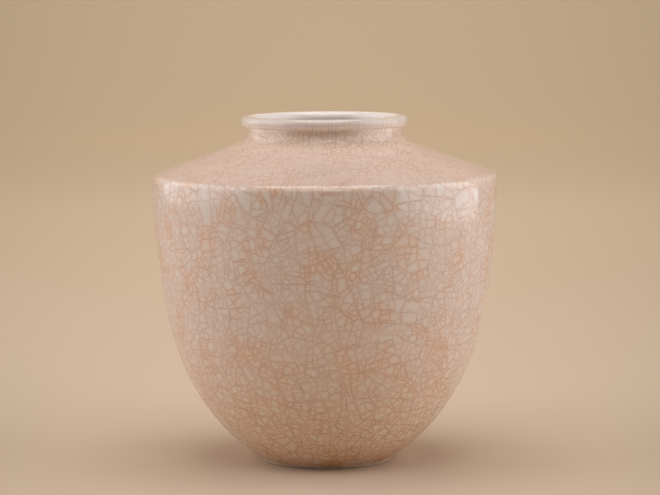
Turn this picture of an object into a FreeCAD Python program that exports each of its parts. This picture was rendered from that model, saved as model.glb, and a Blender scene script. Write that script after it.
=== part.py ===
import FreeCAD, Part
import os
import re

import Sketcher

# A crackle-glazed vase of the meiping family, in millimetres. It stands on z = 0 and its axis is Z.
# The clay is thrown in three sections, which are luted together with slip, and then it takes three
# coats of glaze: the crackle glaze outside, a plain liner inside, and a pool in the foot's recess.
# Every piece is turned about the axis, so each is one closed outline of radius and height.

# The turned foot: the bare clay ring that the vase stands on.
FOOT_SIZES = (
    ("foot_radius", "34"),
    ("foot_wall_height", "1.6"),
    ("foot_ring_width", "5"),
    ("foot_edge", "0.5"),
    ("recess_depth", "3"),
    ("recess_draft", "0.8"),
    ("floor_thickness", "5"),
    ("floor_round", "14"),
)
# The belly swells from the foot to the shoulder in three tangent arcs, through two points that
# lie at shares of the way out and of the way up.
BELLY_SIZES = (
    ("shoulder_radius", "89.1"),
    ("shoulder_height", "146.8"),
    ("haunch_radius_share", "0.511"),
    ("haunch_height_share", "0.1855"),
    ("belly_radius_share", "0.856"),
    ("belly_height_share", "0.4855"),
    ("wall_thickness", "4.2"),
)
# The shoulder turns over a tight arris into a low cone, which a cove carries up into the neck.
SHOULDER_SIZES = (
    ("arris_radius", "3.5"),
    ("inner_arris_radius", "4"),
    ("shoulder_rise", "26.4"),
    ("cove_radius", "8.2"),
    ("neck_radius", "39.56"),
    ("neck_straight", "1.9"),
    ("neck_wall", "3"),
    ("throat_round", "10"),
)
# The lip is a rolled bead that stands out over the neck.
LIP_SIZES = (
    ("lip_height", "4.3"),
    ("lip_ledge", "1.1"),
    ("rim_round", "3"),
)
# The luted joints: a film of slip between two bevelled rims.
JOINT_SIZES = (
    ("slip_thickness", "0.4"),
    ("shoulder_joint_margin", "3"),
    ("shoulder_joint_bevel", "2.5"),
    ("neck_joint_margin", "4"),
    ("neck_joint_bevel", "1.5"),
)
COAT_SIZES = (
    ("glaze_thickness", "0.6"),
    ("liner_thickness", "0.6"),
    ("pool_thickness", "0.5"),
    ("cut_overrun", "2"),
)

# Heights and radii that follow from the driving sizes.
STACKED = (
    ("foot_inner", "foot_radius - foot_ring_width"),
    ("recess_radius", "foot_inner - recess_draft"),
    ("floor_height", "recess_depth + floor_thickness"),
    ("cove_height", "shoulder_height + shoulder_rise"),
    ("lip_base", "cove_height + neck_straight"),
    ("lip_roll", "lip_height / 2"),
    ("lip_centre", "neck_radius + lip_ledge"),
    ("rim_height", "lip_base + lip_height"),
    ("throat_radius", "neck_radius - neck_wall"),
    ("rim_centre", "throat_radius + rim_round"),
)
# The three arcs of the belly. The upper one leaves the shoulder upright, and each of the others
# leaves the one above it along its tangent. The normals point out of the clay.
BELLY_ARCS = (
    ("swell", "shoulder_radius - foot_radius"),
    ("climb", "shoulder_height - foot_wall_height"),
    ("belly_radius", "foot_radius + belly_radius_share * swell"),
    ("belly_height", "foot_wall_height + belly_height_share * climb"),
    ("haunch_radius", "foot_radius + haunch_radius_share * swell"),
    ("haunch_height", "foot_wall_height + haunch_height_share * climb"),
    ("upper_run", "shoulder_radius - belly_radius"),
    ("upper_fall", "shoulder_height - belly_height"),
    ("upper_bend", "(upper_run ^ 2 + upper_fall ^ 2) / (2 * upper_run)"),
    ("upper_centre", "shoulder_radius - upper_bend"),
    ("belly_out", "(belly_radius - upper_centre) / upper_bend"),
    ("belly_up", "-upper_fall / upper_bend"),
    ("middle_run", "haunch_radius - belly_radius"),
    ("middle_fall", "haunch_height - belly_height"),
    ("middle_square", "middle_run ^ 2 + middle_fall ^ 2"),
    ("middle_bend", "-middle_square / (2 * (middle_run * belly_out + middle_fall * belly_up))"),
    ("middle_centre", "belly_radius - middle_bend * belly_out"),
    ("middle_centre_height", "belly_height - middle_bend * belly_up"),
    ("haunch_out", "(haunch_radius - middle_centre) / middle_bend"),
    ("haunch_up", "(haunch_height - middle_centre_height) / middle_bend"),
    ("lower_run", "foot_radius - haunch_radius"),
    ("lower_fall", "foot_wall_height - haunch_height"),
    ("lower_square", "lower_run ^ 2 + lower_fall ^ 2"),
    ("lower_bend", "-lower_square / (2 * (lower_run * haunch_out + lower_fall * haunch_up))"),
    ("lower_centre", "haunch_radius - lower_bend * haunch_out"),
    ("lower_centre_height", "haunch_height - lower_bend * haunch_up"),
    ("foot_out", "(foot_radius - lower_centre) / lower_bend"),
    ("foot_up", "(foot_wall_height - lower_centre_height) / lower_bend"),
)
# The inside of the floor rounds up into the lower arc of the wall.
FLOOR_ROUND = (
    ("round_height", "floor_height + floor_round"),
    ("round_reach", "lower_bend - wall_thickness - floor_round"),
    ("round_drop", "lower_centre_height - round_height"),
    ("round_run", "sqrt(round_reach ^ 2 - round_drop ^ 2)"),
    ("round_centre", "lower_centre + round_run"),
    ("round_out", "round_run / round_reach"),
    ("round_up", "-round_drop / round_reach"),
)
# The cone of the shoulder is the line that leaves the arris above it and the cove below it.
CONE = (
    ("arris_centre", "shoulder_radius - arris_radius"),
    ("cove_centre", "neck_radius + cove_radius"),
    ("cone_run", "arris_centre - cove_centre"),
    ("cone_length", "sqrt(cone_run ^ 2 + shoulder_rise ^ 2)"),
    ("cone_turn", "asin((arris_radius + cove_radius) / cone_length)"),
    ("cone_slope", "atan(shoulder_rise / cone_run) - cone_turn"),
    ("cone_out", "sin(cone_slope)"),
    ("cone_up", "cos(cone_slope)"),
    ("cone_level", "arris_centre * cone_out + shoulder_height * cone_up + arris_radius"),
    ("under_level", "cone_level - wall_thickness"),
)
# Inside, the wall turns into the underside of the cone round a corner of its own.
INNER_ARRIS = (
    ("inner_bend", "upper_bend - wall_thickness"),
    ("corner_reach", "inner_bend - inner_arris_radius"),
    ("upper_level", "upper_centre * cone_out + shoulder_height * cone_up"),
    ("corner_rise", "under_level - inner_arris_radius - upper_level"),
    ("corner_slide", "sqrt(corner_reach ^ 2 - corner_rise ^ 2)"),
    ("corner_run", "corner_rise * cone_out + corner_slide * cone_up"),
    ("corner_climb", "corner_rise * cone_up - corner_slide * cone_out"),
    ("corner_centre", "upper_centre + corner_run"),
    ("corner_height", "shoulder_height + corner_climb"),
    ("corner_out", "corner_run / corner_reach"),
    ("corner_up", "corner_climb / corner_reach"),
)
# The throat's edge, where the underside of the cone turns up into the neck.
THROAT = (
    ("throat_centre", "throat_radius + throat_round"),
    ("throat_level", "under_level + throat_round"),
    ("throat_height", "(throat_level - throat_centre * cone_out) / cone_up"),
)
# Where the two joints cross the outside and the inside of the clay.
JOINTS = (
    ("joint_inner_drop", "shoulder_joint_margin - inner_bend * corner_up"),
    ("joint_outer_drop", "joint_inner_drop + shoulder_joint_bevel"),
    ("joint_inner_radius", "upper_centre + sqrt(inner_bend ^ 2 - joint_inner_drop ^ 2)"),
    ("joint_outer_radius", "upper_centre + sqrt(upper_bend ^ 2 - joint_outer_drop ^ 2)"),
    ("slip_inner_drop", "joint_inner_drop - slip_thickness"),
    ("slip_outer_drop", "joint_outer_drop - slip_thickness"),
    ("slip_inner_radius", "upper_centre + sqrt(inner_bend ^ 2 - slip_inner_drop ^ 2)"),
    ("slip_outer_radius", "upper_centre + sqrt(upper_bend ^ 2 - slip_outer_drop ^ 2)"),
    ("neck_joint_radius", "cove_centre - cove_radius * cone_out + neck_joint_margin * cone_up"),
    ("neck_joint_height", "cove_height - cove_radius * cone_up - neck_joint_margin * cone_out"),
    ("neck_inner_radius", "neck_joint_radius - wall_thickness * cone_out - neck_joint_bevel * cone_up"),
    ("neck_inner_height", "neck_joint_height - wall_thickness * cone_up + neck_joint_bevel * cone_out"),
    ("slip_run", "slip_thickness * cone_up"),
    ("slip_fall", "slip_thickness * cone_out"),
)
DRIVING = FOOT_SIZES + BELLY_SIZES + SHOULDER_SIZES + LIP_SIZES + JOINT_SIZES + COAT_SIZES
DERIVED = STACKED + BELLY_ARCS + FLOOR_ROUND + CONE + INNER_ARRIS + THROAT + JOINTS

# Distances of the coats from the outside of the clay, and of the liner from its inside.
CLAY = "0"
GLAZE = "glaze_thickness"
LINER = "liner_thickness"
FULL_TURN = 360
SAME_POINT = 1e-6


def make_sheet(doc):
    """The driving sizes as plain numbers, and below them the sizes that follow as formulas."""
    sheet = doc.addObject("Spreadsheet::Sheet", "Sizes")
    rows = list(DRIVING) + [(alias, "=" + formula) for alias, formula in DERIVED]
    for row, (alias, text) in enumerate(rows, start=1):
        sheet.set(f"A{row}", alias)
        sheet.set(f"B{row}", text)
        sheet.setAlias(f"B{row}", alias)
    doc.recompute()
    return sheet


NAMES = {alias for alias, _ in DRIVING + DERIVED}


def bound(formula):
    """The formula with each size written as a cell of the sheet."""
    return re.sub(r"[a-z_]+", lambda word: f"Sizes.{word[0]}" if word[0] in NAMES else word[0], formula)


def out_by(radius, height, normal_out, normal_up, distance):
    """A point moved along a normal, as a pair of formulas."""
    return f"{radius} + ({distance}) * {normal_out}", f"{height} + ({distance}) * {normal_up}"


def line(end):
    return {"end": end}


def arc(end, radius, bulge):
    """An arc of under half a turn. It bulges to the left or to the right of its own way."""
    return {"end": end, "radius": radius, "bulge": bulge}


def shoulder_point(distance):
    return f"shoulder_radius + ({distance})", "shoulder_height"


def belly_point(distance):
    return out_by("belly_radius", "belly_height", "belly_out", "belly_up", distance)


def haunch_point(distance):
    return out_by("haunch_radius", "haunch_height", "haunch_out", "haunch_up", distance)


def foot_point(distance):
    return out_by("foot_radius", "foot_wall_height", "foot_out", "foot_up", distance)


def cone_foot(distance):
    """Where the arris ends and the cone begins."""
    return out_by("arris_centre", "shoulder_height", "cone_out", "cone_up", f"arris_radius + {distance}")


def cone_head(distance):
    """Where the cone ends and the cove begins."""
    return out_by("cove_centre", "cove_height", "cone_out", "cone_up", f"{distance} - cove_radius")


def up_the_belly(distance):
    """From the foot point to the haunch and the belly point, on the outside or a coat over it."""
    return [
        arc(haunch_point(distance), f"lower_bend + ({distance})", "right"),
        arc(belly_point(distance), f"middle_bend + ({distance})", "right"),
    ]


def up_the_lip(distance):
    """From the neck out along the lip's underside, round its bead and in along the crest."""
    return [
        line((f"neck_radius + ({distance})", f"lip_base - ({distance})")),
        line(("lip_centre", f"lip_base - ({distance})")),
        arc(
            (f"lip_centre + lip_roll + ({distance})", "lip_base + lip_roll"),
            f"lip_roll + ({distance})",
            "right",
        ),
        arc(("lip_centre", f"rim_height + ({distance})"), f"lip_roll + ({distance})", "right"),
        line(("rim_centre", f"rim_height + ({distance})")),
    ]


def rim_side(distance):
    """The throat's upper end, where the rounding of the rim begins."""
    return f"throat_radius - ({distance})", "rim_height - rim_round"


def throat_side(distance):
    """The throat's lower end."""
    return f"throat_radius - ({distance})", "throat_height"


def throat_foot(distance):
    """Where the throat's edge meets the underside of the cone."""
    return out_by("throat_centre", "throat_height", "cone_out", "cone_up", f"-throat_round - ({distance})")


def corner_head(distance):
    """The upper end of the inner corner, on the underside of the cone."""
    return out_by(
        "corner_centre", "corner_height", "cone_out", "cone_up", f"inner_arris_radius - ({distance})"
    )


def corner_foot(distance):
    """The lower end of the inner corner, on the wall."""
    return out_by(
        "upper_centre", "shoulder_height", "corner_out", "corner_up", f"inner_bend - ({distance})"
    )


def inner_belly(distance):
    return belly_point(f"-wall_thickness - ({distance})")


def inner_haunch(distance):
    return haunch_point(f"-wall_thickness - ({distance})")


def floor_edge(distance):
    """Where the wall's lower arc meets the rounding of the floor."""
    return out_by("round_centre", "round_height", "round_out", "round_up", f"floor_round - ({distance})")


def down_the_wall(distance):
    """From the belly point inside down to the middle of the floor, on the clay or on its liner."""
    return [
        arc(inner_haunch(distance), f"middle_bend - wall_thickness - ({distance})", "left"),
        arc(floor_edge(distance), f"lower_bend - wall_thickness - ({distance})", "left"),
        arc(("round_centre", f"floor_height + ({distance})"), f"floor_round - ({distance})", "left"),
        line(("0", f"floor_height + ({distance})")),
    ]


def lower_body_outline():
    """The thrown bowl, from its solid base up the outside, over the bevelled rim and down inside."""
    joint_outer = ("joint_outer_radius", "shoulder_height - joint_outer_drop")
    joint_inner = ("joint_inner_radius", "shoulder_height - joint_inner_drop")
    return [
        line(("0", "0")),
        line(("foot_radius - foot_edge", "0")),
        line(("foot_radius", "foot_edge")),
        line(foot_point(CLAY)),
        *up_the_belly(CLAY),
        arc(joint_outer, "upper_bend", "right"),
        line(joint_inner),
        arc(inner_belly(CLAY), "inner_bend", "left"),
        *down_the_wall(CLAY),
    ]


def recess_outline():
    """What the turning tool takes out of the base to leave the foot ring."""
    return [
        line(("0", "-cut_overrun")),
        line(("foot_inner + foot_edge", "-cut_overrun")),
        line(("foot_inner + foot_edge", "0")),
        line(("foot_inner", "foot_edge")),
        line(("recess_radius", "recess_depth")),
        line(("0", "recess_depth")),
    ]


def shoulder_slip_outline():
    """The film of slip between the bowl's rim and the shoulder."""
    return [
        line(("joint_outer_radius", "shoulder_height - joint_outer_drop")),
        arc(("slip_outer_radius", "shoulder_height - slip_outer_drop"), "upper_bend", "right"),
        line(("slip_inner_radius", "shoulder_height - slip_inner_drop")),
        arc(("joint_inner_radius", "shoulder_height - joint_inner_drop"), "inner_bend", "left"),
    ]


def shoulder_outline():
    """The short upright rim, the arris and the cone, as far as the joint of the neck."""
    return [
        arc(("slip_inner_radius", "shoulder_height - slip_inner_drop"), "inner_bend", "left"),
        line(("slip_outer_radius", "shoulder_height - slip_outer_drop")),
        arc(shoulder_point(CLAY), "upper_bend", "right"),
        arc(cone_foot(CLAY), "arris_radius", "right"),
        line(("neck_joint_radius + slip_run", "neck_joint_height - slip_fall")),
        line(("neck_inner_radius + slip_run", "neck_inner_height - slip_fall")),
        line(corner_head(CLAY)),
        arc(corner_foot(CLAY), "inner_arris_radius", "left"),
    ]


def neck_slip_outline():
    """The film of slip between the shoulder and the neck."""
    return [
        line(("neck_joint_radius", "neck_joint_height")),
        line(("neck_inner_radius", "neck_inner_height")),
        line(("neck_inner_radius + slip_run", "neck_inner_height - slip_fall")),
        line(("neck_joint_radius + slip_run", "neck_joint_height - slip_fall")),
    ]


def neck_outline():
    """The collar with its cove and the rolled lip, thrown as one ring."""
    return [
        line(("neck_inner_radius", "neck_inner_height")),
        line(("neck_joint_radius", "neck_joint_height")),
        line(cone_head(CLAY)),
        arc(("neck_radius", "cove_height"), "cove_radius", "left"),
        *up_the_lip(CLAY),
        arc(rim_side(CLAY), "rim_round", "right"),
        line(throat_side(CLAY)),
        arc(throat_foot(CLAY), "throat_round", "right"),
    ]


def outer_glaze_outline():
    """The crackle glaze, from its rolled end above the foot to the crest of the lip."""
    return [
        line(foot_point(GLAZE)),
        *up_the_belly(GLAZE),
        arc(shoulder_point(GLAZE), f"upper_bend + {GLAZE}", "right"),
        arc(cone_foot(GLAZE), f"arris_radius + {GLAZE}", "right"),
        line(cone_head(GLAZE)),
        arc((f"neck_radius + {GLAZE}", "cove_height"), f"cove_radius - {GLAZE}", "left"),
        *up_the_lip(GLAZE),
        line(("rim_centre", "rim_height")),
        line(("lip_centre", "rim_height")),
        arc(("lip_centre + lip_roll", "lip_base + lip_roll"), "lip_roll", "left"),
        arc(("lip_centre", "lip_base"), "lip_roll", "left"),
        line(("neck_radius", "lip_base")),
        line(("neck_radius", "cove_height")),
        arc(cone_head(CLAY), "cove_radius", "right"),
        line(cone_foot(CLAY)),
        arc(shoulder_point(CLAY), "arris_radius", "left"),
        arc(belly_point(CLAY), "upper_bend", "left"),
        arc(haunch_point(CLAY), "middle_bend", "left"),
        arc(foot_point(CLAY), "lower_bend", "left"),
    ]


def inner_glaze_outline():
    """The plain liner, from the crest of the lip down the throat and the wall and over the floor."""
    return [
        arc(("rim_centre", "rim_height"), "rim_round", "left"),
        line(("rim_centre", f"rim_height + {LINER}")),
        arc(rim_side(LINER), f"rim_round + {LINER}", "right"),
        line(throat_side(LINER)),
        arc(throat_foot(LINER), f"throat_round + {LINER}", "right"),
        line(corner_head(LINER)),
        arc(corner_foot(LINER), f"inner_arris_radius - {LINER}", "left"),
        arc(inner_belly(LINER), f"inner_bend - {LINER}", "left"),
        *down_the_wall(LINER),
        line(("0", "floor_height")),
        line(("round_centre", "floor_height")),
        arc(floor_edge(CLAY), "floor_round", "right"),
        arc(inner_haunch(CLAY), "lower_bend - wall_thickness", "right"),
        arc(inner_belly(CLAY), "middle_bend - wall_thickness", "right"),
        arc(corner_foot(CLAY), "inner_bend", "right"),
        arc(corner_head(CLAY), "inner_arris_radius", "right"),
        line(throat_foot(CLAY)),
        arc(throat_side(CLAY), "throat_round", "left"),
        line(rim_side(CLAY)),
    ]


def base_glaze_outline():
    """The pool of glaze under the floor, inside the foot ring."""
    pool_edge = "recess_radius + recess_draft * pool_thickness / (recess_depth - foot_edge)"
    return [
        line(("0", "recess_depth")),
        line(("0", "recess_depth - pool_thickness")),
        line((pool_edge, "recess_depth - pool_thickness")),
        line(("recess_radius", "recess_depth")),
    ]


def arc_through(start, end, radius, bulge):
    """The shorter arc of that radius from start to end, on the named side of its chord."""
    chord = end - start
    side = FreeCAD.Vector(-chord.y, chord.x, 0) if bulge == "left" else FreeCAD.Vector(chord.y, -chord.x, 0)
    half = chord.Length / 2
    rise = radius - max(radius**2 - half**2, 0) ** 0.5
    middle = (start + end) / 2 + side.normalize() * rise
    return Part.Arc(start, middle, end)


def draw(sheet, body, name, outline):
    """A closed sketch on the body's own upright plane, with each corner and radius tied to the sheet."""
    sketch = body.newObject("Sketcher::SketchObject", name)
    plane = next(o for o in body.Origin.OriginFeatures if o.Role == "XZ_Plane")
    sketch.AttachmentSupport = [(plane, "")]
    sketch.MapMode = "FlatFace"
    size = {}
    for step in outline:
        for formula in (*step["end"], step.get("radius")):
            if formula and formula not in size:
                size[formula] = float(sheet.evalExpression(bound(formula)))
    corners = [FreeCAD.Vector(size[step["end"][0]], size[step["end"][1]], 0) for step in outline]
    for number, step in enumerate(outline):
        start, end = corners[number - 1], corners[number]
        if "radius" in step:
            edge = arc_through(start, end, size[step["radius"]], step["bulge"])
        else:
            edge = Part.LineSegment(start, end)
        sketch.addGeometry(edge, False)
    tie_corners(sketch, outline, corners)
    for number, step in enumerate(outline):
        if "radius" in step:
            tie(sketch, Sketcher.Constraint("Radius", number, size[step["radius"]]), step["radius"])
    return sketch


def tie(sketch, constraint, formula):
    number = sketch.addConstraint(constraint)
    sketch.setExpression(f"Constraints[{number}]", bound(formula))


def ends(sketch, number, corners):
    """Which of the edge's points, 1 or 2, is the start of the outline's step and which its end."""
    begin = sketch.getPoint(number, 1)
    return (1, 2) if begin.isEqual(corners[number - 1], SAME_POINT) else (2, 1)


def tie_corners(sketch, outline, corners):
    """Joins each edge to the next, and sets its far corner by radius and height."""
    first, vertical, horizontal = 1, -2, -1
    for number, step in enumerate(outline):
        following = (number + 1) % len(outline)
        here = ends(sketch, number, corners)[1]
        there = ends(sketch, following, corners)[0]
        sketch.addConstraint(Sketcher.Constraint("Coincident", number, here, following, there))
        radius, height = step["end"]
        if radius == "0":
            sketch.addConstraint(Sketcher.Constraint("PointOnObject", number, here, vertical))
        else:
            across = Sketcher.Constraint("DistanceX", horizontal, first, number, here, corners[number].x)
            tie(sketch, across, radius)
        if height == "0":
            sketch.addConstraint(Sketcher.Constraint("PointOnObject", number, here, horizontal))
        else:
            upwards = Sketcher.Constraint("DistanceY", horizontal, first, number, here, corners[number].y)
            tie(sketch, upwards, height)


def turn(doc, sheet, name, outline):
    """A body of one piece, turned once round the axis."""
    body = doc.addObject("PartDesign::Body", name)
    body.Label = name
    body.Placement = FreeCAD.Placement()
    sketch = draw(sheet, body, f"{name}_outline", outline)
    solid = body.newObject("PartDesign::Revolution", f"{name}_turned")
    solid.Profile = sketch
    solid.ReferenceAxis = (sketch, ["V_Axis"])
    solid.Angle = FULL_TURN
    doc.recompute()
    return body


def turn_recess(doc, sheet, body):
    """Cuts the recess that leaves the foot ring."""
    before = body.Shape.Volume
    sketch = draw(sheet, body, "recess_outline", recess_outline())
    cut = body.newObject("PartDesign::Groove", "turned_recess")
    cut.Profile = sketch
    cut.ReferenceAxis = (sketch, ["V_Axis"])
    cut.Angle = FULL_TURN
    doc.recompute()
    if body.Shape.Volume >= before:
        raise RuntimeError("the recess cut nothing")


def build():
    doc = FreeCAD.newDocument("vase")
    sheet = make_sheet(doc)
    lower_body = turn(doc, sheet, "lower_body", lower_body_outline())
    turn_recess(doc, sheet, lower_body)
    bodies = [
        lower_body,
        turn(doc, sheet, "shoulder_slip", shoulder_slip_outline()),
        turn(doc, sheet, "shoulder", shoulder_outline()),
        turn(doc, sheet, "neck_slip", neck_slip_outline()),
        turn(doc, sheet, "neck", neck_outline()),
        turn(doc, sheet, "outer_glaze", outer_glaze_outline()),
        turn(doc, sheet, "inner_glaze", inner_glaze_outline()),
        turn(doc, sheet, "base_glaze", base_glaze_outline()),
    ]
    doc.recompute()
    for item in doc.Objects:
        if "Invalid" in item.State or "Error" in item.State:
            raise RuntimeError(f"{item.Label} failed: {item.State}")
    for body in bodies:
        if body.Shape.isNull() or not body.Shape.isValid() or body.Shape.Volume <= 0:
            raise RuntimeError(f"{body.Label} has no valid solid")
    return sheet, bodies


def write(sheet, bodies):
    os.makedirs("parts", exist_ok=True)
    for body in bodies:
        body.Shape.exportStep(f"parts/{body.Label}.step")
        box = body.Shape.BoundBox
        print(f"{body.Label}: {body.Shape.Volume:.0f} mm3, z {box.ZMin:.2f} to {box.ZMax:.2f}")
    print(f"glazed height {sheet.rim_height + sheet.glaze_thickness:.2f}")


write(*build())
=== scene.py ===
import math

import bmesh
import bpy
from mathutils import Matrix, Vector

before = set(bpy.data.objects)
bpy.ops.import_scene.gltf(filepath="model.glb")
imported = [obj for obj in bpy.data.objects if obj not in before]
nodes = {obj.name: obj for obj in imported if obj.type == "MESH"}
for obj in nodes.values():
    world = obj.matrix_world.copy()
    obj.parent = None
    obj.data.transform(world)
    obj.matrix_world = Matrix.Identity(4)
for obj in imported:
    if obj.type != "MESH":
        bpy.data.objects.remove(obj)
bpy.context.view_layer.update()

# The camera stands 1.27 m in front of the vase and 70 mm above its rim, and looks a little down
# through a long lens. It is held a touch out of level, with the vase a touch left of the middle.
EYE_DISTANCE = 1.2703
EYE_HEIGHT = 0.2503
LOOK_DOWN = math.radians(6.26)
LOOK_RIGHT = math.radians(0.112)
EYE_ROLL = math.radians(-0.41)
LENS_MM = 133.4
FARTHEST_SEEN = 60

eye = bpy.data.cameras.new("eye")
eye.lens = LENS_MM
eye.clip_end = FARTHEST_SEEN
camera = bpy.data.objects.new("camera", eye)
camera.location = (0, -EYE_DISTANCE, EYE_HEIGHT)
turn = Matrix.Rotation(-LOOK_RIGHT, 3, "Z")
tilt = Matrix.Rotation(math.pi / 2 - LOOK_DOWN, 3, "X")
roll = Matrix.Rotation(EYE_ROLL, 3, "Z")
camera.rotation_euler = (turn @ tilt @ roll).to_euler()
bpy.context.scene.collection.objects.link(camera)
bpy.context.scene.camera = camera
bpy.context.scene.view_settings.view_transform = "Standard"

# The table is one sheet of tan studio paper, which lies flat under the vase and far behind it
# and then curves up into the backdrop. A glow of its own stands in for the lamp on its far part,
# and the light falls off a little to both sides.
PAPER_WIDTH = 9
PAPER_FRONT = -3
PAPER_BACK = 2.6
PAPER_BEND = 0.9
PAPER_BEND_STEPS = 24
PAPER_TOP = 3.5
PAPER_ROUGHNESS = 0.9
PAPER_SPECULAR = 0.15
PAPER_TAN = (0.612, 0.474, 0.354, 1)
BLACK = (0, 0, 0, 1)
PAPER_GLOW = (1.0, 0.755, 0.495, 1)
GLOW_STRENGTH = 0.422
GLOW_FROM = -0.15
GLOW_TO = 1.55
SIDE_FALL = 0.10
SIDE_FALL_MOST = 0.25
VIEW_SPREAD = 0.127


def plug(tree, value, socket):
    """Gives a socket its value: the output of another node, or a plain one."""
    if isinstance(value, bpy.types.NodeSocket):
        tree.links.new(value, socket)
    else:
        socket.default_value = value


def math_node(tree, operation, *values):
    """One Math node. Each value is a number or the output of another node."""
    node = tree.nodes.new("ShaderNodeMath")
    node.operation = operation
    for socket, value in zip(node.inputs, values):
        plug(tree, value, socket)
    return node.outputs[0]


def apart(tree, vector):
    """The X, Y and Z of a vector."""
    node = tree.nodes.new("ShaderNodeSeparateXYZ")
    tree.links.new(vector, node.inputs[0])
    return node.outputs


def mixed(tree, share, first, second):
    """One colour mixed into another. Each is a colour or the output of another node."""
    node = tree.nodes.new("ShaderNodeMix")
    node.data_type = "RGBA"
    for name, value in (("Factor", share), ("A", first), ("B", second)):
        plug(tree, value, node.inputs[name])
    return node.outputs["Result"]


def between(tree, value, start, end):
    """A smooth rise from 0 at start to 1 at end, or a fall where end is below start."""
    node = tree.nodes.new("ShaderNodeMapRange")
    node.interpolation_type = "SMOOTHSTEP"
    low, high = min(start, end), max(start, end)
    node.inputs["From Min"].default_value = low
    node.inputs["From Max"].default_value = high
    node.inputs["To Min"].default_value = 0 if start < end else 1
    node.inputs["To Max"].default_value = 1 if start < end else 0
    tree.links.new(value, node.inputs["Value"])
    return node.outputs["Result"]


def fresh(name):
    """A new material, its tree, its shader and its texture coordinates."""
    material = bpy.data.materials.new(name)
    material.use_nodes = True
    tree = material.node_tree
    place = tree.nodes.new("ShaderNodeTexCoord")
    return material, tree, tree.nodes["Principled BSDF"], place


def paper_finish():
    """Paper that glows in the distance and darkens a little to both sides."""
    material, tree, shader, place = fresh("studio_paper")
    shader.inputs["Roughness"].default_value = PAPER_ROUGHNESS
    shader.inputs["Specular IOR Level"].default_value = PAPER_SPECULAR
    shader.inputs["Emission Color"].default_value = PAPER_GLOW

    # How far aside the point lies, as a share of half the view's width at its own depth.
    along = apart(tree, place.outputs["Object"])
    reach = math_node(tree, "MULTIPLY_ADD", along["Y"], VIEW_SPREAD, VIEW_SPREAD * EYE_DISTANCE)
    aside = math_node(tree, "DIVIDE", along["X"], math_node(tree, "MAXIMUM", reach, VIEW_SPREAD))

    # What is left of the light there. Both the paper's tan and its glow are dimmed by it.
    loss = math_node(tree, "MULTIPLY", math_node(tree, "POWER", aside, 2), SIDE_FALL)
    kept = math_node(tree, "SUBTRACT", 1, math_node(tree, "MINIMUM", loss, SIDE_FALL_MOST))
    tree.links.new(mixed(tree, kept, BLACK, PAPER_TAN), shader.inputs["Base Color"])
    far = between(tree, along["Y"], GLOW_FROM, GLOW_TO)
    glow = math_node(tree, "MULTIPLY", math_node(tree, "MULTIPLY", far, GLOW_STRENGTH), kept)
    tree.links.new(glow, shader.inputs["Emission Strength"])
    return material


sheet = bmesh.new()
left = sheet.verts.new((-PAPER_WIDTH / 2, PAPER_FRONT, 0))
right = sheet.verts.new((PAPER_WIDTH / 2, PAPER_FRONT, 0))
edge = sheet.edges.new((left, right))


def extended(edge, step):
    """Grows the sheet from an edge by a step, and gives back its new edge."""
    grown = bmesh.ops.extrude_edge_only(sheet, edges=[edge])["geom"]
    moved = [item for item in grown if isinstance(item, bmesh.types.BMVert)]
    bmesh.ops.translate(sheet, verts=moved, vec=step)
    return next(item for item in grown if isinstance(item, bmesh.types.BMEdge))


edge = extended(edge, Vector((0, PAPER_BACK - PAPER_FRONT, 0)))
curve = bmesh.ops.spin(
    sheet,
    geom=[edge],
    cent=(0, PAPER_BACK, PAPER_BEND),
    axis=(1, 0, 0),
    angle=math.pi / 2,
    steps=PAPER_BEND_STEPS,
)
edge = next(item for item in curve["geom_last"] if isinstance(item, bmesh.types.BMEdge))
extended(edge, Vector((0, 0, PAPER_TOP - PAPER_BEND)))
bmesh.ops.recalc_face_normals(sheet, faces=sheet.faces)
for face in sheet.faces:
    face.smooth = True
paper_mesh = bpy.data.meshes.new("studio_paper")
sheet.to_mesh(paper_mesh)
sheet.free()
paper_mesh.materials.append(paper_finish())
paper = bpy.data.objects.new("studio_paper", paper_mesh)
bpy.context.scene.collection.objects.link(paper)

# Tall softboxes stand on the table's level to the right and left of the vase, with a narrow one
# more at the left, and two hang over it, one about straight above and one above its front.
BOX_DISTANCE = 0.85
BOX_CENTRE = 0.56
BOX_HEIGHT = 1.12
LEFT_BOX_LIFT = 0.042
TOP_BOX = (0, 0.14, 1.4)
FRONT_TOP_BOX = (0, -0.8, 1.3)
FRONT_TOP_TARGET = (0, 0, 0.1)
WARM_WHITE = (1.0, 0.965, 0.91)
COOL_WHITE = (1.0, 0.995, 1.03)


def softbox(name, place, target, width, height, watts, colour):
    """A rectangular lamp at a place, turned to a target."""
    lamp = bpy.data.lights.new(name, "AREA")
    lamp.shape = "RECTANGLE"
    lamp.size = width
    lamp.size_y = height
    lamp.energy = watts
    lamp.color = colour
    box = bpy.data.objects.new(name, lamp)
    box.location = place
    box.rotation_euler = (Vector(target) - Vector(place)).to_track_quat("-Z", "Y").to_euler()
    box.visible_camera = False
    bpy.context.scene.collection.objects.link(box)


def side_box(name, azimuth, width, watts, lift=0.0):
    """A softbox beside the vase, so many degrees round to the right from the camera."""
    angle = math.radians(azimuth)
    height = BOX_CENTRE + lift
    place = (BOX_DISTANCE * math.sin(angle), -BOX_DISTANCE * math.cos(angle), height)
    softbox(name, place, (0, 0, height), width, BOX_HEIGHT, watts, COOL_WHITE)


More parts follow.
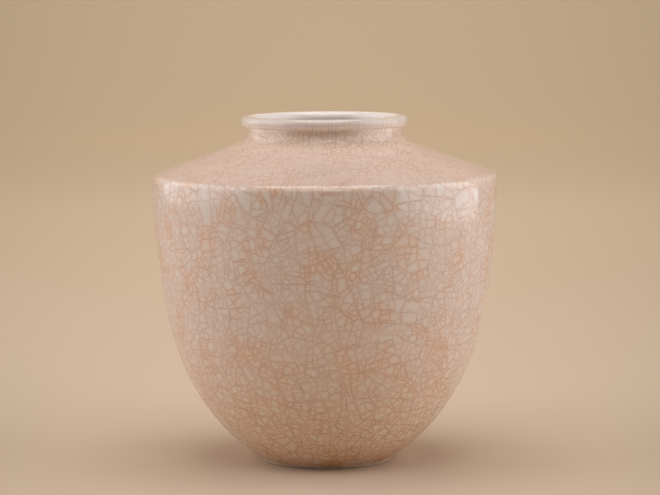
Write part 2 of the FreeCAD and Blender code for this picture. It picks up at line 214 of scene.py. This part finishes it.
side_box("right_softbox", azimuth=83, width=1.15, watts=8.45)
side_box("left_softbox", azimuth=-93, width=1.3, watts=7.4, lift=LEFT_BOX_LIFT)
side_box("left_front_softbox", azimuth=-68, width=0.5, watts=1.4, lift=LEFT_BOX_LIFT)
softbox("top_softbox", TOP_BOX, (0, 0, 0), width=0.9, height=0.9, watts=7.9, colour=WARM_WHITE)
softbox(
    "front_top_softbox",
    FRONT_TOP_BOX,
    FRONT_TOP_TARGET,
    width=0.9,
    height=0.6,
    watts=4.15,
    colour=WARM_WHITE,
)

# The room is almost dark, and where the paper ends the camera sees the backdrop's tan.
ROOM_LIGHT = (0.01, 0.01, 0.01, 1)
BACKDROP_SHOWN = (0.50, 0.365, 0.235, 1)

room = bpy.data.worlds.new("room")
room.use_nodes = True
room_tree = room.node_tree
lit = room_tree.nodes["Background"]
lit.inputs["Color"].default_value = ROOM_LIGHT
seen = room_tree.nodes.new("ShaderNodeBackground")
seen.inputs["Color"].default_value = BACKDROP_SHOWN
ray = room_tree.nodes.new("ShaderNodeLightPath")
either = room_tree.nodes.new("ShaderNodeMixShader")
room_tree.links.new(ray.outputs["Is Camera Ray"], either.inputs[0])
room_tree.links.new(lit.outputs[0], either.inputs[1])
room_tree.links.new(seen.outputs[0], either.inputs[2])
room_tree.links.new(either.outputs[0], room_tree.nodes["World Output"].inputs["Surface"])
bpy.context.scene.world = room

# The clay is pale stoneware, thrown in three sections that are luted together with slip. Only the
# foot ring stays bare: it is wiped clean of glaze, fires to a warm cream and is rubbed smooth.
CLAY_CREAM = (0.60, 0.455, 0.32, 1)
CLAY_DARK = (0.42, 0.31, 0.21, 1)
CLAY_GRAIN = 900
CLAY_GRAIN_DETAIL = 6
CLAY_SPECKS = (0.45, 0.75)
CLAY_CLOUD = 75
CLAY_ROUGHNESS = (0.66, 0.84)
CLAY_RELIEF = 0.00006
# Painted contact shade: a dark colour for the foot's lowest edge, where it meets the table.
CLAY_CONTACT_SHADE = (0.20, 0.12, 0.075, 1)
CONTACT_SHADE_HEIGHT = 0.0006


def noise(tree, place, scale, detail=2.0):
    """A Noise Texture node, with so many swells to the unit of its place."""
    node = tree.nodes.new("ShaderNodeTexNoise")
    node.inputs["Scale"].default_value = scale
    node.inputs["Detail"].default_value = detail
    tree.links.new(place, node.inputs["Vector"])
    return node


def ranged(tree, share, ends):
    """A number that runs from the first end to the second as the share goes from 0 to 1."""
    return math_node(tree, "MULTIPLY_ADD", share, ends[1] - ends[0], ends[0])


def raised(tree, height, depth, shader):
    """Relief of so many metres, as bump."""
    bump = tree.nodes.new("ShaderNodeBump")
    bump.inputs["Strength"].default_value = 1.0
    bump.inputs["Distance"].default_value = depth
    tree.links.new(height, bump.inputs["Height"])
    tree.links.new(bump.outputs["Normal"], shader.inputs["Normal"])


def clay_finish(name, cream, dark):
    """Fired clay with fine dark grain, and painted contact shade at its lowest edge."""
    material, tree, shader, place = fresh(name)
    grain = noise(tree, place.outputs["Object"], CLAY_GRAIN, CLAY_GRAIN_DETAIL).outputs["Fac"]
    cloud = noise(tree, place.outputs["Object"], CLAY_CLOUD).outputs["Fac"]
    share = math_node(tree, "MULTIPLY", between(tree, grain, *CLAY_SPECKS), cloud)
    fired = mixed(tree, share, cream, dark)
    height = apart(tree, place.outputs["Object"])["Z"]
    # Painted contact shade darkens the clay in its lowest fraction of a millimetre.
    contact_shade = between(tree, height, CONTACT_SHADE_HEIGHT, 0)
    tree.links.new(mixed(tree, contact_shade, fired, CLAY_CONTACT_SHADE), shader.inputs["Base Color"])
    tree.links.new(ranged(tree, cloud, CLAY_ROUGHNESS), shader.inputs["Roughness"])
    raised(tree, grain, CLAY_RELIEF, shader)
    return material


def dress(node, material):
    """Puts a finish on a piece of the CAD model, which stays as it is."""
    for slot in nodes[node].material_slots:
        slot.material = material


stoneware = clay_finish("bare_stoneware", CLAY_CREAM, CLAY_DARK)
for section in ("lower_body", "shoulder", "neck"):
    dress(section, stoneware)

# The slip is the same clay stirred up with water, a shade greyer. It lutes the three sections
# together, and each joint squeezes it out to a thin film.
SLIP_CREAM = (0.62, 0.55, 0.45, 1)
SLIP_DARK = (0.55, 0.47, 0.37, 1)

slip = clay_finish("luting_slip", SLIP_CREAM, SLIP_DARK)
for film in ("shoulder_slip", "neck_slip"):
    dress(film, slip)

# The liner is a plain greyish-white glaze, poured into the vase and out again, and a little of it
# closes the foot's recess. It is glossy, with faint clouds where it ran thicker.
LINER_WHITE = (0.90, 0.795, 0.735, 1)
LINER_GREY = (0.86, 0.76, 0.70, 1)
LINER_CLOUD = 28
LINER_RIPPLE = 168
LINER_ROUGHNESS = (0.07, 0.14)
LINER_RELIEF = 0.00003

liner, tree, shader, place = fresh("plain_liner")
cloud = noise(tree, place.outputs["Object"], LINER_CLOUD).outputs["Fac"]
tree.links.new(mixed(tree, cloud, LINER_WHITE, LINER_GREY), shader.inputs["Base Color"])
tree.links.new(ranged(tree, cloud, LINER_ROUGHNESS), shader.inputs["Roughness"])
raised(tree, noise(tree, place.outputs["Object"], LINER_RIPPLE).outputs["Fac"], LINER_RELIEF, shader)
for coat in ("inner_glaze", "base_glaze"):
    dress(coat, liner)

# The crackle glaze covers the outside. As it cooled it shrank more than the clay and cracked:
# first into large fields, and then each field again and again, each crack starting square from
# an older one. Colour rubbed into the cracks tints the glaze pink and orange beside them.
MILLIMETRES = 1000
# Heights up the vase, in millimetres. A pair is where something starts and where it is full.
ARRIS_HEIGHT = 150
ARRIS_TURN = (ARRIS_HEIGHT - 0.5, ARRIS_HEIGHT + 0.5)
COVE_HEIGHT = 164
LIP_HEIGHT = 173.5
LIP_TURN = (LIP_HEIGHT - 1, LIP_HEIGHT + 1)


def vector_node(tree, operation, *values):
    """One Vector Math node. Each value is a vector or the output of another node."""
    node = tree.nodes.new("ShaderNodeVectorMath")
    node.operation = operation
    for socket, value in zip(node.inputs, values):
        plug(tree, value, socket)
    return node.outputs["Value" if operation == "DOT_PRODUCT" else "Vector"]


def times(tree, vector, factor):
    """A vector so many times as long."""
    node = tree.nodes.new("ShaderNodeVectorMath")
    node.operation = "SCALE"
    tree.links.new(vector, node.inputs[0])
    plug(tree, factor, node.inputs["Scale"])
    return node.outputs["Vector"]


def joined(tree, *parts):
    """A vector made of its X, Y and Z."""
    node = tree.nodes.new("ShaderNodeCombineXYZ")
    for socket, value in zip(node.inputs, parts):
        plug(tree, value, socket)
    return node.outputs["Vector"]


# The cracks sway and waver, so three noises, each of a length and a reach, bend the flat pattern.
# On the lip the cracks stand nearly upright, so the pattern is stretched in height there.
SWAYS = ((14.0, 3.4), (60.0, 9.0), (4.5, 1.3))
PATTERN_SHIFT = (7.0, 4.0, 0.0)
LIP_STRETCH = 0.3
NOISE_MIDDLE = (0.5, 0.5, 0.5)


def bent(tree, point, height):
    """The place in the pattern that shows at a point of the glaze."""
    on_lip = math_node(tree, "MAXIMUM", math_node(tree, "SUBTRACT", height, LIP_HEIGHT), 0)
    drop = joined(tree, 0, 0, math_node(tree, "MULTIPLY", on_lip, LIP_STRETCH - 1))
    moved = vector_node(tree, "ADD", drop, PATTERN_SHIFT)
    for length, reach in SWAYS:
        bend = noise(tree, point, 1 / length, detail=1).outputs["Color"]
        bend = vector_node(tree, "SUBTRACT", bend, NOISE_MIDDLE)
        moved = vector_node(tree, "ADD", moved, times(tree, bend, reach))
    return vector_node(tree, "ADD", point, moved)


# The large fields are cells of a Voronoi pattern, and so are the small cells of a net.
FIELD_UNEVENNESS = 0.85
STEEPEST_EDGE = 0.35


def nearest_field(tree, place, size, feature):
    """The field that a point lies in, or the next nearest one."""
    node = tree.nodes.new("ShaderNodeTexVoronoi")
    node.feature = feature
    node.inputs["Scale"].default_value = 1 / size
    node.inputs["Randomness"].default_value = FIELD_UNEVENNESS
    tree.links.new(place, node.inputs["Vector"])
    return node


def fields(tree, place, size, outward):
    """Fields of about a size, and in the surface the way from the point to the nearest edge."""
    own = nearest_field(tree, place, size, "F1")
    centre = own.outputs["Position"]
    next_centre = nearest_field(tree, place, size, "F2").outputs["Position"]
    across = vector_node(tree, "NORMALIZE", vector_node(tree, "SUBTRACT", next_centre, centre))
    midway = times(tree, vector_node(tree, "ADD", next_centre, centre), 0.5)
    gap = vector_node(tree, "DOT_PRODUCT", vector_node(tree, "SUBTRACT", midway, place), across)
    lean = vector_node(tree, "DOT_PRODUCT", across, outward)
    lean = math_node(tree, "SUBTRACT", 1, math_node(tree, "MULTIPLY", lean, lean))
    lean = math_node(tree, "SQRT", lean)
    gap = math_node(tree, "DIVIDE", gap, math_node(tree, "MAXIMUM", lean, STEEPEST_EDGE))
    return own, gap


def laid_flat(tree, way, outward):
    """A short way over the glaze, as so far round the vase and so far up its side."""
    around = vector_node(tree, "NORMALIZE", vector_node(tree, "CROSS_PRODUCT", outward, (0, 0, 1)))
    upward = vector_node(tree, "CROSS_PRODUCT", around, outward)
    return joined(
        tree,
        vector_node(tree, "DOT_PRODUCT", way, around),
        vector_node(tree, "DOT_PRODUCT", way, upward),
        0,
    )


# A crack's slant off square, its slide off the field's middle and its bow. A field that stays
# whole is shorter than a limit, which differs by chance.
SKEW = 0.5
SLIDE = 0.3
BOW = 0.03
WHOLE_LEAST = 0.7
WHOLE_SPREAD = 0.8
# So far away that no crack shows, and so long that no field cracks.
NEVER = 1000.0
# Steps from one chance number to the next, and from a field's name to those of its halves.
DIE_STEP = 61.7
NAME_FACTOR = 0.7
NAME_STEP = 0.113
SIDE_STEP = 0.37
# What a point knows of its field, beside the field's middle.
STATE = ("Heading", "Length", "Breadth", "Name", "Open", "Nearest")


def thrown(tree, name):
    """Chance numbers that belong to a name."""
    node = tree.nodes.new("ShaderNodeTexWhiteNoise")
    node.noise_dimensions = "1D"
    tree.links.new(name, node.inputs["W"])
    return node.outputs


def crack_across():
    """A node group: one crack across a field, and on which side of it the point lies."""
    tree = bpy.data.node_groups.new("crack_across", "ShaderNodeTree")
    face = tree.interface
    for name in ("Place", "Middle"):
        face.new_socket(name=name, in_out="INPUT", socket_type="NodeSocketVector")
    for name in (*STATE, "Limit", "Fineness"):
        face.new_socket(name=name, in_out="INPUT", socket_type="NodeSocketFloat")
    face.new_socket(name="Middle", in_out="OUTPUT", socket_type="NodeSocketVector")
    for name in STATE:
        face.new_socket(name=name, in_out="OUTPUT", socket_type="NodeSocketFloat")
    given = tree.nodes.new("NodeGroupInput").outputs
    made = tree.nodes.new("NodeGroupOutput").inputs
    dice = apart(tree, thrown(tree, given["Name"])["Color"])
    fourth = math_node(tree, "FRACT", math_node(tree, "MULTIPLY", dice["X"], DIE_STEP))

    # The crack runs about square to the last one, a little off the middle and a little bowed.
    skewed = math_node(tree, "MULTIPLY_ADD", dice["X"], SKEW, math.pi / 2 - SKEW / 2)
    heading = math_node(tree, "ADD", given["Heading"], skewed)
    cosine = math_node(tree, "COSINE", heading)
    sine = math_node(tree, "SINE", heading)
    square = joined(tree, cosine, sine, 0)
    along = joined(tree, math_node(tree, "MULTIPLY", sine, -1), cosine, 0)
    away = vector_node(tree, "SUBTRACT", given["Place"], given["Middle"])
    way = vector_node(tree, "DOT_PRODUCT", away, along)
    slide = math_node(tree, "MULTIPLY_ADD", dice["Y"], SLIDE, -SLIDE / 2)
    bow = math_node(tree, "MULTIPLY_ADD", dice["Z"], BOW, -BOW / 2)
    gap = vector_node(tree, "DOT_PRODUCT", away, square)
    gap = math_node(tree, "MULTIPLY_ADD", slide, given["Length"], gap)
    gap = math_node(tree, "MULTIPLY_ADD", bow, math_node(tree, "MULTIPLY", way, way), gap)
    side = math_node(tree, "MULTIPLY_ADD", math_node(tree, "GREATER_THAN", gap, 0), 2, -1)

    # A field that is short enough stays as it is, and so do its parts.
    limit = math_node(tree, "MULTIPLY_ADD", fourth, WHOLE_SPREAD, WHOLE_LEAST)
    limit = math_node(tree, "MULTIPLY", limit, given["Limit"])
    cracks = math_node(tree, "GREATER_THAN", given["Length"], limit)
    open_still = math_node(tree, "MULTIPLY", given["Open"], cracks)
    tree.links.new(open_still, made["Open"])
    shown_gap = math_node(tree, "MULTIPLY", math_node(tree, "ABSOLUTE", gap), given["Fineness"])
    hidden = math_node(tree, "MULTIPLY_ADD", open_still, -NEVER, NEVER)
    nearest = math_node(tree, "MINIMUM", given["Nearest"], math_node(tree, "ADD", shown_gap, hidden))
    tree.links.new(nearest, made["Nearest"])

    # The point goes on in its own half, which has its own middle, size and name.
    step = math_node(tree, "MULTIPLY_ADD", slide, -0.5, math_node(tree, "MULTIPLY", side, 0.25))
    step = math_node(tree, "MULTIPLY", step, given["Length"])
    tree.links.new(vector_node(tree, "ADD", given["Middle"], times(tree, square, step)), made["Middle"])
    tree.links.new(heading, made["Heading"])
    share = math_node(tree, "MULTIPLY_ADD", slide, side, 0.5)
    tree.links.new(given["Breadth"], made["Length"])
    tree.links.new(math_node(tree, "MULTIPLY", given["Length"], share), made["Breadth"])
    change = math_node(tree, "MULTIPLY_ADD", given["Name"], NAME_FACTOR, NAME_STEP)
    change = math_node(tree, "MULTIPLY_ADD", side, SIDE_STEP, change)
    tree.links.new(math_node(tree, "MULTIPLY_ADD", change, open_still, given["Name"]), made["Name"])
    return tree


def cracked(tree, group, flat, state, limit, fineness):
    """The state of a point's field after one more crack."""
    crack = tree.nodes.new("ShaderNodeGroup")
    crack.node_tree = group
    tree.links.new(flat, crack.inputs["Place"])
    crack.inputs["Fineness"].default_value = fineness
    for name, value in {**state, "Limit": limit}.items():
        plug(tree, value, crack.inputs[name])
    return {name: crack.outputs[name] for name in state}


# How long a field can be and stay whole: less in some patches and on the shoulder, where the
# glaze cracked more closely, and more just under the arris.
LONGEST_WHOLE = 4.4
SHORTEST_CRACKED = 2.2
CLOSE_CRACKED = 1.5
CLOSE_PATCH = 26
CLOSE_RANGE = (0.35, 0.65)
WIDE_UNDER_ARRIS = 3.0
UNDER_ARRIS = (ARRIS_HEIGHT - 18, ARRIS_HEIGHT - 10)
CLOSE_ON_SHOULDER = 1.7


def crack_limit(tree, centre, shoulder):
    """The length over which the field round a centre cracks again."""
    close = noise(tree, centre, 1 / CLOSE_PATCH, detail=1).outputs["Fac"]
    close = between(tree, close, *CLOSE_RANGE)
    under_arris = between(tree, apart(tree, centre)["Z"], *UNDER_ARRIS)
    under_arris = math_node(tree, "MAXIMUM", math_node(tree, "SUBTRACT", under_arris, shoulder), 0)
    limit = math_node(tree, "MULTIPLY_ADD", close, -CLOSE_CRACKED, LONGEST_WHOLE)
    limit = math_node(tree, "MULTIPLY_ADD", under_arris, WIDE_UNDER_ARRIS, limit)
    limit = math_node(tree, "MULTIPLY_ADD", shoulder, -CLOSE_ON_SHOULDER, limit)
    return math_node(tree, "MAXIMUM", limit, SHORTEST_CRACKED)


# The pattern's cracks of each age in turn, the later the finer. Most fields end in a net of
# small round cells, and the others in ladders of square ones.
FIELD = 15.0
LEVELNESS = 0.8
FIRST_FINENESS = (1.0, 1.05, 1.15)
FIRST_LONGEST = 8.0
LATER_FINENESS = (1.25, 1.35)
LADDER_SHARE = 0.22
NET_CELL = 4.1
NET_FINENESS = 1.3
NET_SHIFT = 60.0
FINER_ON_SHOULDER = 1.6
COARSER_WHERE_WHOLE = 0.5
WHOLE_RANGE = (3.6, 8.4)


def crack_pattern(tree, place, outward, height, shoulder):
    """How far off the nearest crack and the nearest first one are, and the cell's own number."""
    own, gap = fields(tree, place, FIELD, outward)
    centre = own.outputs["Position"]
    flat = laid_flat(tree, vector_node(tree, "SUBTRACT", place, centre), outward)
    limit = crack_limit(tree, centre, shoulder)

    # The first cracks run more or less level or upright.
    group = crack_across()
    chance = apart(tree, own.outputs["Color"])
    quarter = math_node(tree, "ROUND", chance["X"])
    level = math_node(tree, "MULTIPLY_ADD", quarter, math.pi / 2, -LEVELNESS / 2)
    state = {
        "Middle": (0, 0, 0),
        "Heading": math_node(tree, "MULTIPLY_ADD", chance["Z"], LEVELNESS, level),
        "Length": FIELD,
        "Breadth": FIELD,
        "Name": chance["Y"],
        "Open": 1.0,
        "Nearest": gap,
    }
    for fineness in FIRST_FINENESS:
        state = cracked(tree, group, flat, state, FIRST_LONGEST, fineness)
    first_crack = state["Nearest"]

    # A share of what is left cracks on in ladders, but none above the arris.
    dice = thrown(tree, state["Name"])
    above_arris = math_node(tree, "GREATER_THAN", height, ARRIS_HEIGHT)
    ladder_share = ranged(tree, above_arris, (LADDER_SHARE, 0))
    netted = math_node(tree, "GREATER_THAN", dice["Value"], ladder_share)
    state["Open"] = 1.0
    ladder_limit = math_node(tree, "MULTIPLY_ADD", netted, NEVER, limit)
    for fineness in LATER_FINENESS:
        state = cracked(tree, group, flat, state, ladder_limit, fineness)

    # The rest ends in a net, finer on the shoulder and coarser where the glaze cracked less.
    whole = math_node(tree, "GREATER_THAN", between(tree, limit, *WHOLE_RANGE), dice["Value"])
    finer = ranged(tree, above_arris, (1, FINER_ON_SHOULDER))
    finer = math_node(tree, "MULTIPLY", finer, ranged(tree, whole, (1, COARSER_WHERE_WHOLE)))
    shift = times(tree, dice["Color"], NET_SHIFT)
    shifted = vector_node(tree, "ADD", times(tree, place, finer), shift)
    net, net_gap = fields(tree, shifted, NET_CELL, outward)
    net_gap = math_node(tree, "DIVIDE", net_gap, finer)
    hidden = math_node(tree, "MULTIPLY_ADD", netted, -NEVER, NEVER)
    net_gap = math_node(tree, "MULTIPLY_ADD", net_gap, NET_FINENESS, hidden)
    nearest = math_node(tree, "MINIMUM", state["Nearest"], net_gap)

    # Each cell has its own number, in a net and in a ladder.
    cell = thrown(tree, state["Name"])["Value"]
    net_chance = apart(tree, net.outputs["Color"])["X"]
    cell = math_node(tree, "MULTIPLY_ADD", net_chance, netted, cell)
    return nearest, first_crack, math_node(tree, "FRACT", cell)


# The colour that was rubbed in is orange in patches, and a little more so low down.
ORANGE_PATCH = 16
ORANGE_DETAIL = 3
ORANGE_RANGE = (0.48, 0.66)
WARM_HEIGHTS = (95, 15)
WARMER_LOW_DOWN = 0.06
LESS_ORANGE_ON_SHOULDER = 0.45


def orange_share(tree, point, height, shoulder):
    """How orange the cracks and the glaze beside them are."""
    warmth = noise(tree, point, 1 / ORANGE_PATCH, ORANGE_DETAIL).outputs["Fac"]
    warm = between(tree, height, *WARM_HEIGHTS)
    warmth = math_node(tree, "MULTIPLY_ADD", warm, WARMER_LOW_DOWN, warmth)
    orange = between(tree, warmth, *ORANGE_RANGE)
    less = math_node(tree, "MULTIPLY_ADD", shoulder, -LESS_ORANGE_ON_SHOULDER, 1)
    return math_node(tree, "MULTIPLY", orange, less)


# Near the foot the glaze runs thin and brown, in patches.
FOOT_PATCH = 20
FOOT_PATCH_RANGE = (0.42, 0.62)
FOOT_HEIGHTS = (20, 2)
BROWN_LEAST = 0.3
BROWN_SPREAD = 0.55


def brown_share(tree, point, height):
    """How brown the glaze is."""
    patches = noise(tree, point, 1 / FOOT_PATCH).outputs["Fac"]
    patches = between(tree, patches, *FOOT_PATCH_RANGE)
    brown = math_node(tree, "MULTIPLY_ADD", patches, BROWN_SPREAD, BROWN_LEAST)
    return math_node(tree, "MULTIPLY", between(tree, height, *FOOT_HEIGHTS), brown)


# The first cracks took a mauve brown colour, and the later ones pink or orange. A crack counts as
# a later one where the first cracks are farther away by LATER_BY.
FIRST_CRACK = (0.645, 0.455, 0.36, 1)
LATER_CRACK = (0.66, 0.475, 0.37, 1)
LATER_BY = 0.3
ORANGE_CRACK = (0.68, 0.43, 0.285, 1)
SHOULDER_CRACK = (0.50, 0.315, 0.255, 1)
SHOULDER_CRACK_SHARE = 0.35
FOOT_CRACK = (0.40, 0.18, 0.08, 1)
RED_HEIGHTS = (60, 5)
RED_SHARE = 0.35


def crack_colour(tree, height, shoulder, orange, brown, later):
    """The colour in the cracks."""
    colour = mixed(tree, orange, LATER_CRACK, ORANGE_CRACK)
    colour = mixed(tree, later, FIRST_CRACK, colour)
    share = math_node(tree, "MULTIPLY", shoulder, SHOULDER_CRACK_SHARE)
    colour = mixed(tree, share, colour, SHOULDER_CRACK)
    reddened = math_node(tree, "MULTIPLY", between(tree, height, *RED_HEIGHTS), RED_SHARE)
    reddened = math_node(tree, "MAXIMUM", brown, reddened)
    return mixed(tree, reddened, colour, FOOT_CRACK)


# The glaze itself is pale, pinker on the shoulder, and shows tan where it is thin at the foot. It is
# tan in a band under the lip as well.
GROUND = (0.795, 0.685, 0.60, 1)
GROUND_LOW = (0.785, 0.70, 0.565, 1)
BLEED = (0.76, 0.58, 0.485, 1)
BLEED_LOW = (0.775, 0.53, 0.37, 1)
ORANGE_BLEED = (0.77, 0.50, 0.35, 1)
LOW_HEIGHTS = (75, 10)
SHOULDER_PINK = (0.665, 0.465, 0.40, 1)
PINK_HEIGHTS = (COVE_HEIGHT + 3, COVE_HEIGHT - 3)
PINK_SHARE = (0.3, 0.52)
FOOT_BROWN = (0.715, 0.40, 0.215, 1)
UNDER_LIP_TAN = (0.87, 0.67, 0.50, 1)
UNDER_LIP = (COVE_HEIGHT - 1, COVE_HEIGHT + 4)
UNDER_LIP_SHARE = 0.6


def glaze_colour(tree, height, shoulder, orange, brown, tinted):
    """The colour between the cracks, by how much of their colour the glaze took."""
    low = between(tree, height, *LOW_HEIGHTS)
    ground = mixed(tree, low, GROUND, GROUND_LOW)
    bleed = mixed(tree, low, mixed(tree, orange, BLEED, ORANGE_BLEED), BLEED_LOW)
    colour = mixed(tree, tinted, ground, bleed)
    pink = ranged(tree, between(tree, height, *PINK_HEIGHTS), PINK_SHARE)
    colour = mixed(tree, math_node(tree, "MULTIPLY", shoulder, pink), colour, SHOULDER_PINK)
    colour = mixed(tree, brown, colour, FOOT_BROWN)
    under_lip = math_node(tree, "MULTIPLY", between(tree, height, *UNDER_LIP), UNDER_LIP_SHARE)
    return mixed(tree, under_lip, colour, UNDER_LIP_TAN)


# A crack is full within its half width and gone at its edge. Round the lip the cracks are
# hairlines, which stand side by side.
CRACK_HALF_WIDTH = 0.08
CRACK_EDGE = 0.35
LIP_RADIUS = 42
LIP_CRACKS_APART = 2.7
HAIRLINE_CORE = 0.02


def hairlines(tree, place):
    """How far the point is in one of the lip's hairlines."""
    plan = apart(tree, place)
    angle = math_node(tree, "ARCTAN2", plan["X"], math_node(tree, "MULTIPLY", plan["Y"], -1))
    hairline = tree.nodes.new("ShaderNodeTexVoronoi")
    hairline.voronoi_dimensions = "1D"
    hairline.feature = "DISTANCE_TO_EDGE"
    hairline.inputs["Scale"].default_value = LIP_RADIUS / LIP_CRACKS_APART
    tree.links.new(angle, hairline.inputs["W"])
    return between(tree, hairline.outputs["Distance"], CRACK_EDGE / LIP_CRACKS_APART, HAIRLINE_CORE)


# The finish puts them together. Cracks are fainter in some patches, and their colour reaches a
# little way into the glaze, more in one cell than in the next.
FAINTEST_CRACK = 0.35
FAINT_PATCH = 8
FAINT_RANGE = (0.3, 0.62)
BLEED_REACH = 1.3
CELL_SPREAD = 0.35
CREST_WHITE = (0.70, 0.613, 0.556, 1)
# Painted light: the paler white below the lip's crest makes up for the shade on its underside.
UNDERSIDE_PAINTED_FILL = (0.92, 0.82, 0.735, 1)
CREST_HEIGHTS = (LIP_HEIGHT + 2, LIP_HEIGHT + 4)
WHITENED_SHARE = 0.75
LIP_CRACK = (0.63, 0.53, 0.46, 1)
GLAZE_ROUGHNESS = 0.07
CRACK_ROUGHNESS = 0.2
GLAZE_RELIEF = 0.00004
RIPPLE_LENGTH = 7
CRACK_DEPTH = 0.5


def crackle_finish():
    """The crackle glaze, with all its measures in millimetres."""
    material, tree, shader, where = fresh("crackle_glaze")
    point = times(tree, where.outputs["Object"], MILLIMETRES)
    height = apart(tree, point)["Z"]
    shoulder = between(tree, height, *ARRIS_TURN)
    lip = between(tree, height, *LIP_TURN)
    place = bent(tree, point, height)
    outward = where.outputs["Normal"]
    nearest, first_crack, cell = crack_pattern(tree, place, outward, height, shoulder)

    # How strong the crack's own colour is, and how much of it the glaze beside the crack took.
    strength = noise(tree, point, 1 / FAINT_PATCH, detail=1).outputs["Fac"]
    strength = between(tree, strength, *FAINT_RANGE)
    strength = math_node(tree, "MULTIPLY_ADD", strength, 1 - FAINTEST_CRACK, FAINTEST_CRACK)
    in_crack = between(tree, nearest, CRACK_EDGE, CRACK_HALF_WIDTH)
    in_crack = math_node(tree, "MULTIPLY", in_crack, strength)
    tinted = math_node(tree, "EXPONENT", math_node(tree, "DIVIDE", nearest, -BLEED_REACH))
    own_share = math_node(tree, "MULTIPLY_ADD", cell, CELL_SPREAD, -CELL_SPREAD / 2)
    tinted = math_node(tree, "ADD", tinted, own_share)

    # The colour between the cracks and in them.
    orange = orange_share(tree, point, height, shoulder)
    brown = brown_share(tree, point, height)
    later = between(tree, math_node(tree, "SUBTRACT", first_crack, nearest), 0, LATER_BY)
    rubbed_in = crack_colour(tree, height, shoulder, orange, brown, later)
    colour = glaze_colour(tree, height, shoulder, orange, brown, tinted)
    colour = mixed(tree, in_crack, colour, rubbed_in)

    # The lip is whiter, with hairlines side by side round it. Below its crest it is paler still:
    # painted light for the underside's shade.
    lip_white_and_painted_fill = mixed(tree, between(tree, height, *CREST_HEIGHTS), UNDERSIDE_PAINTED_FILL, CREST_WHITE)
    colour = mixed(tree, math_node(tree, "MULTIPLY", lip, WHITENED_SHARE), colour, lip_white_and_painted_fill)
    on_lip = math_node(tree, "MULTIPLY", lip, strength)
    on_hairline = math_node(tree, "MULTIPLY", hairlines(tree, place), on_lip)
    colour = mixed(tree, on_hairline, colour, LIP_CRACK)
    tree.links.new(colour, shader.inputs["Base Color"])

    # The glaze is glossy and gently rippled, and duller and a little lower in the cracks.
    rough = ranged(tree, in_crack, (GLAZE_ROUGHNESS, CRACK_ROUGHNESS))
    tree.links.new(rough, shader.inputs["Roughness"])
    ripple = noise(tree, point, 1 / RIPPLE_LENGTH).outputs["Fac"]
    raised(tree, math_node(tree, "MULTIPLY_ADD", in_crack, -CRACK_DEPTH, ripple), GLAZE_RELIEF, shader)
    return material


dress("outer_glaze", crackle_finish())
